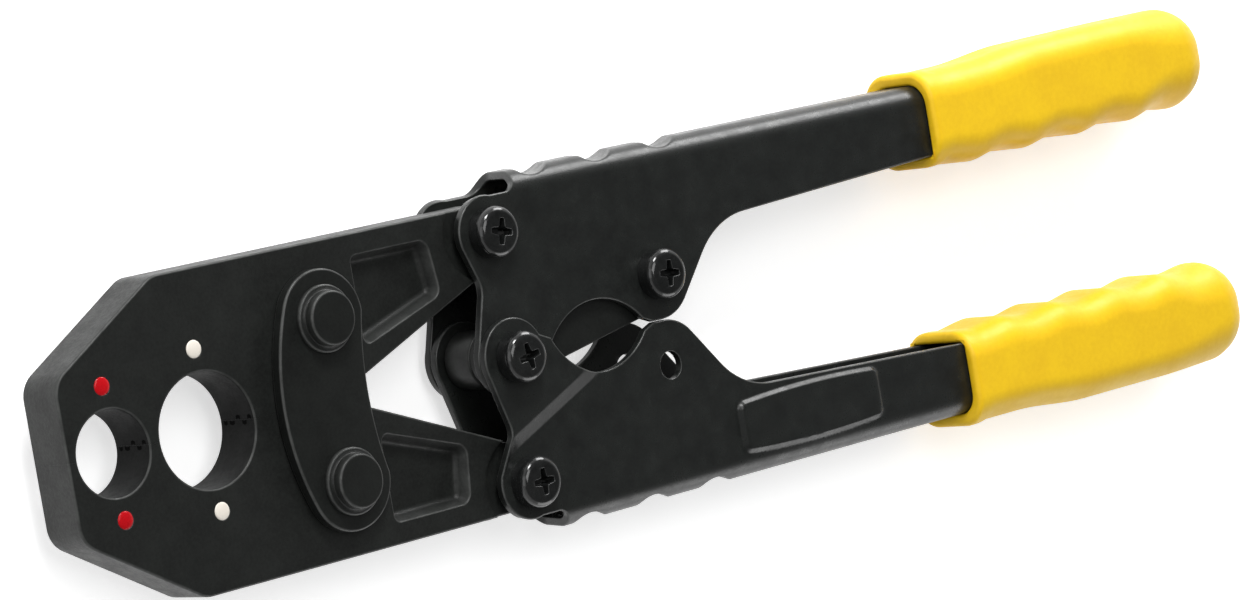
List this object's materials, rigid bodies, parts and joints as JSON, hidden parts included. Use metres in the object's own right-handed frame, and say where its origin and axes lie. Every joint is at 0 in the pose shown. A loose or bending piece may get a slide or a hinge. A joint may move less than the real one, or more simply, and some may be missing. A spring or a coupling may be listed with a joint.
{
  "type": "pex crimp tool",
  "caption": "Two-handled compound-lever crimp tool with two round dies in its jaws, channel handles and moulded grips, shown closed.",
  "frame": {"origin": "on the axis of the large die, halfway through the thickness of the jaws", "axes": "+X along the tool from the nose to the grips, +Y towards the upper handle, +Z along the die axes, out of the marked face"},
  "size_m": [0.358, 0.0895, 0.0288],
  "materials": {
    "black_steel": "satin black oxide",
    "handle_black": "satin black paint",
    "screw_steel": "glossy black oxide",
    "grip_yellow": "soft vinyl, slight sheen",
    "mark_red": "matte enamel fill",
    "mark_white": "matte enamel fill"
  },
  "bodies": {
    "side_plates": {"front_side_plate": "black_steel", "rear_side_plate": "black_steel", "upper_jaw_pin": "black_steel", "lower_jaw_pin": "black_steel"},
    "lower_jaw": {"lower_jaw": "black_steel", "lower_red_mark": "mark_red", "lower_white_mark": "mark_white"},
    "lower_handle": {"lower_handle": "handle_black", "lower_grip": "grip_yellow", "lower_link_barrel": "screw_steel", "lower_link_screw": "screw_steel"},
    "upper_handle": {"upper_handle": "handle_black", "upper_grip": "grip_yellow", "upper_link_barrel": "screw_steel", "upper_link_screw": "screw_steel", "stop_barrel": "screw_steel", "stop_screw": "screw_steel", "stop_spacer": "black_steel", "stop_plate": "black_steel", "centre_barrel": "screw_steel", "centre_screw": "screw_steel", "centre_spacer": "black_steel"},
    "upper_jaw": {"upper_jaw": "black_steel", "upper_red_mark": "mark_red", "upper_white_mark": "mark_white"}
  },
  "joints": [
    {"name": "lower_jaw_pivot", "type": "hinge", "parent": "side_plates", "child": "lower_jaw", "pos_m": [0.0319, -0.0173, 0], "axis": [0, 0, 1], "range_deg": [0, 17.2]},
    {"name": "lower_link", "type": "hinge", "parent": "lower_jaw", "child": "lower_handle", "pos_m": [0.0806, -0.0274, 0], "axis": [0, 0, 1], "range_deg": [-79.95, 0]},
    {"name": "handle_open", "type": "hinge", "parent": "lower_handle", "child": "upper_handle", "pos_m": [0.0806, 0, 0], "axis": [0, 0, 1], "range_deg": [0, 125.4]},
    {"name": "upper_link", "type": "hinge", "parent": "upper_handle", "child": "upper_jaw", "pos_m": [0.0806, 0.0274, 0], "axis": [0, 0, 1], "range_deg": [-79.95, 0]}
  ],
  "couplings": [
    {"joint": "lower_jaw_pivot", "follows": "handle_open", "ratio": 0.13706},
    {"joint": "lower_link", "follows": "handle_open", "ratio": -0.63706},
    {"joint": "upper_link", "follows": "handle_open", "ratio": -0.63706}
  ]
}
